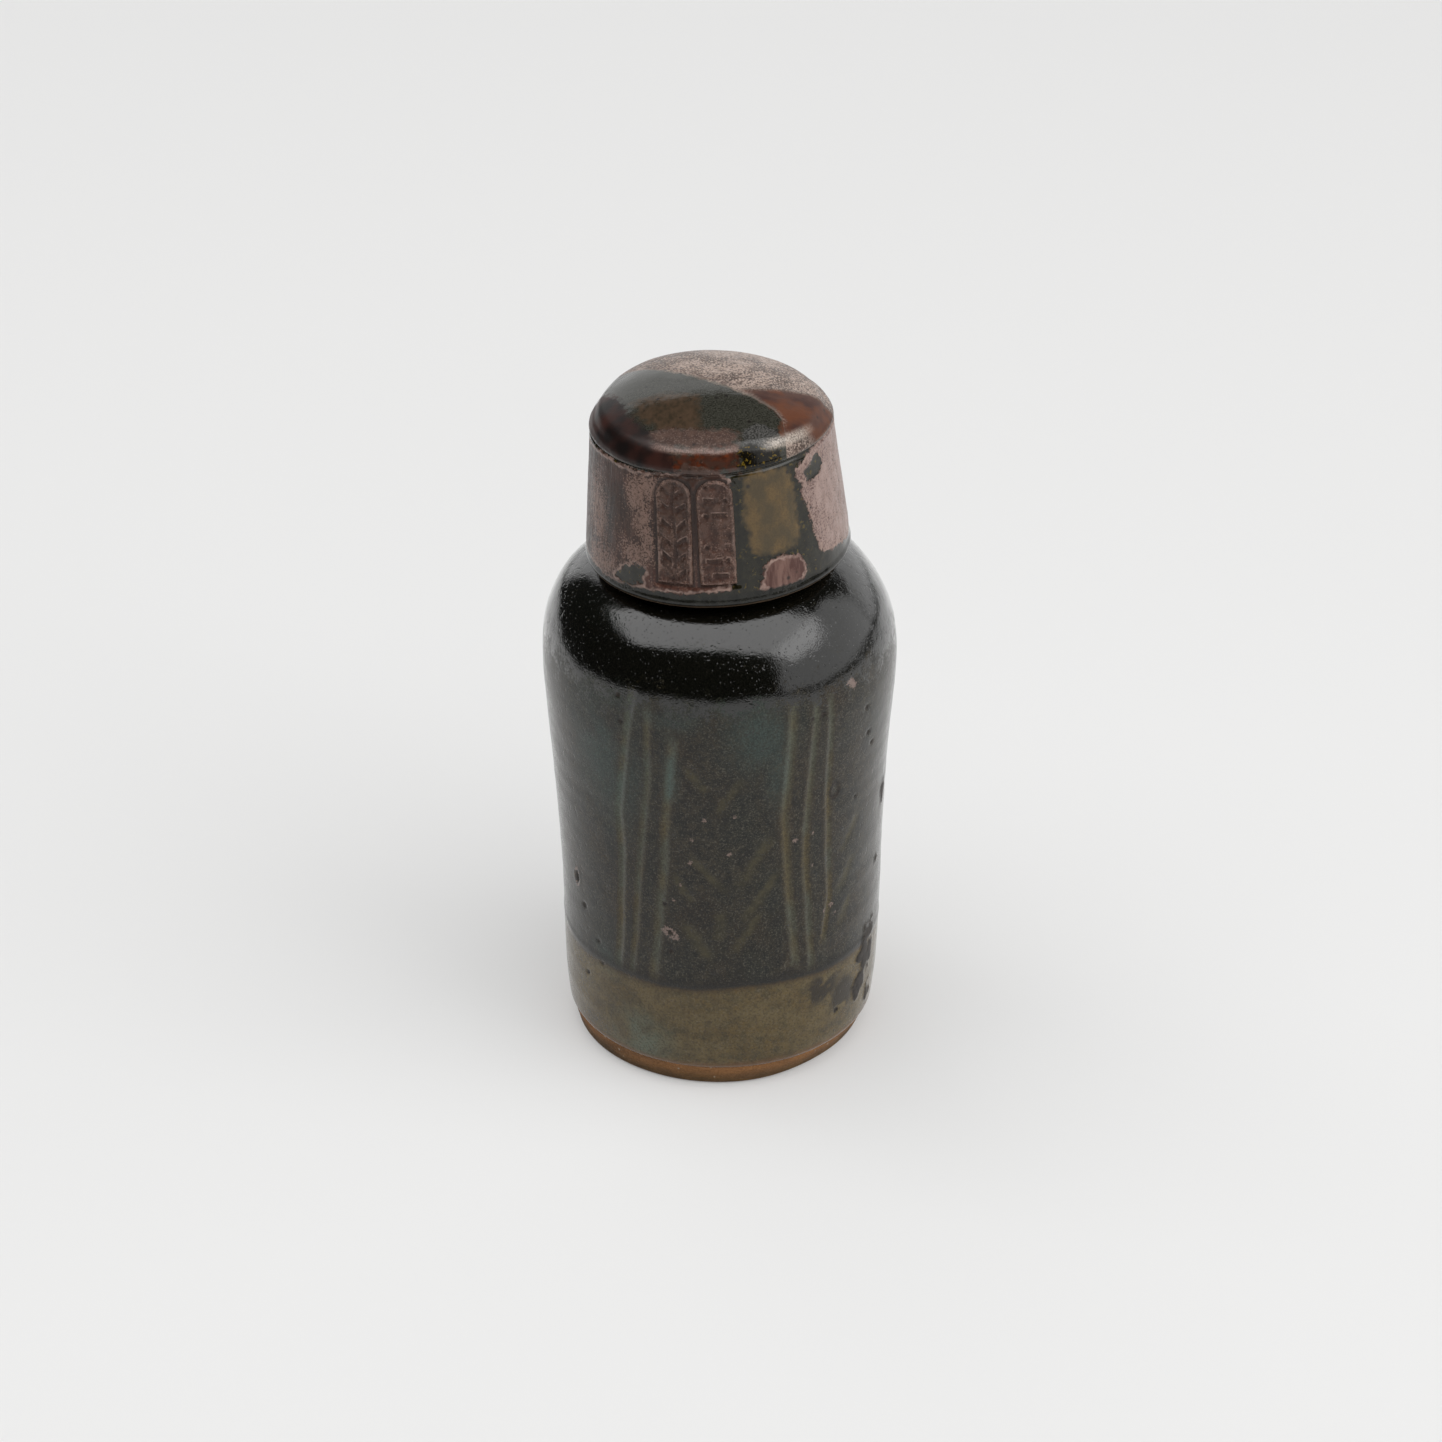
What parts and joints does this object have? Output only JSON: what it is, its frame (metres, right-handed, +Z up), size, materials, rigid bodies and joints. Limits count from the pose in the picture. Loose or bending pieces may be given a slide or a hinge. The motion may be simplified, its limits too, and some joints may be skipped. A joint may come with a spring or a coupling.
{
  "type": "lidded sake bottle",
  "caption": "Thrown stoneware bottle with a rounded shoulder, short leaning neck and a domed cap that lifts off and covers the neck.",
  "frame": {"origin": "centre of the foot ring's resting face, on the table", "axes": "+Z up along the bottle; -Y is the front, where the cap's two arched panels are; the neck and cap lean 2.8 degrees towards -X"},
  "size_m": [0.088, 0.088, 0.1809],
  "materials": {
    "body_clay": "bare orange-brown stoneware, matte",
    "iron_slip": "dark iron slip, matte",
    "ash_glaze": "dark brown-black ash glaze with blue-green flecks, satin to glossy",
    "inner_glaze": "dark brown glaze, glossy",
    "cap_body_clay": "bare brown stoneware, matte",
    "mottled_glaze": "mottled pink-brown and grey-green iron glaze, matte to glossy",
    "cap_inner_glaze": "dark brown glaze, glossy",
    "panel_clay_left": "stamped clay under thin pink-brown glaze, satin",
    "panel_clay_right": "stamped clay under thin pink-brown glaze, satin"
  },
  "bodies": {
    "bottle": {"bottle_clay": "body_clay", "bottle_slip": "iron_slip", "bottle_glaze": "ash_glaze", "bottle_liner": "inner_glaze"},
    "cap": {"cap_clay": "cap_body_clay", "cap_glaze": "mottled_glaze", "cap_liner": "cap_inner_glaze", "cap_panel_left": "panel_clay_left", "cap_panel_right": "panel_clay_right"}
  },
  "joints": [
    {"name": "cap_lift", "type": "slide", "parent": "bottle", "child": "cap", "axis": [-0.0489, 0, 0.9988], "range_m": [0, 0.07]}
  ]
}
